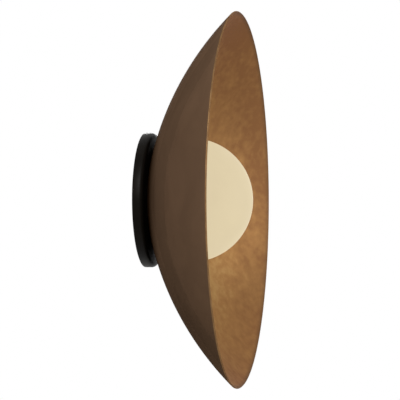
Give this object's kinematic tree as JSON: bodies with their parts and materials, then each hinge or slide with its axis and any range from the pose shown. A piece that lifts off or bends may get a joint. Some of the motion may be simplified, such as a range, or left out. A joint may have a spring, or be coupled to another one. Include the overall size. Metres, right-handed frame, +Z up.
{
  "type": "flush wall light",
  "caption": "Flush wall light: a shallow spun dish in brown patinated brass with a glowing opal glass globe at its centre, on a low black round wall canopy.",
  "frame": {"origin": "centre of the canopy's open back, on the wall", "axes": "+Z up along the wall, +Y into the wall, -Y out of the wall towards the room"},
  "size_m": [0.3346, 0.0964, 0.3346],
  "materials": {
    "zinc_steel": "satin",
    "black_coat": "satin",
    "black_screw": "satin",
    "copper_stud": "satin",
    "brass_fixings": "satin",
    "green_screw": "satin",
    "tinned_copper": "satin",
    "green_insulation": "satin",
    "patinated_brass": "satin",
    "white_paint": "matte",
    "spring_steel": "satin",
    "rivet_aluminium": "satin",
    "black_rubber": "matte",
    "zinc_screws": "satin",
    "steatite": "matte",
    "nickel_contacts": "satin",
    "black_insulation": "satin",
    "white_insulation": "satin",
    "lamp_ceramic": "matte",
    "board_white": "matte",
    "led_phosphor": "matte",
    "frosted_cover": "matte",
    "opal_glass": "gloss",
    "silicone": "matte"
  },
  "bodies": {
    "fixture": {"mounting_strap": "zinc_steel", "canopy": "black_coat", "canopy_screws": "black_screw", "earth_stud": "copper_stud", "earth_nut": "brass_fixings", "earth_screw": "green_screw", "earth_eyelets": "tinned_copper", "earth_lead": "green_insulation", "dish": "patinated_brass", "globe_carrier": "white_paint", "globe_springs": "spring_steel", "spring_rivets": "rivet_aluminium", "wire_grommet": "black_rubber", "lampholder_bracket": "zinc_steel", "clamp_screws": "zinc_screws", "clamp_washers": "zinc_screws", "clamp_nuts": "zinc_screws", "lampholder_body": "steatite", "lampholder_contacts": "nickel_contacts", "lampholder_screws": "zinc_screws", "live_lead": "black_insulation", "neutral_lead": "white_insulation", "lead_ferrules": "tinned_copper"},
    "lamp": {"lamp_base": "lamp_ceramic", "lamp_pins": "nickel_contacts", "lamp_board": "board_white", "lamp_leds": "led_phosphor", "lamp_cover": "frosted_cover"},
    "globe": {"globe": "opal_glass", "globe_seal": "silicone"}
  },
  "joints": [
    {"name": "globe_pull", "type": "slide", "parent": "fixture", "child": "globe", "axis": [0, -1, 0], "range_m": [0, 0.08], "deforming": ["globe_springs"]},
    {"name": "lamp_pull", "type": "slide", "parent": "fixture", "child": "lamp", "axis": [0, -1, 0], "range_m": [0, 0.011]}
  ]
}
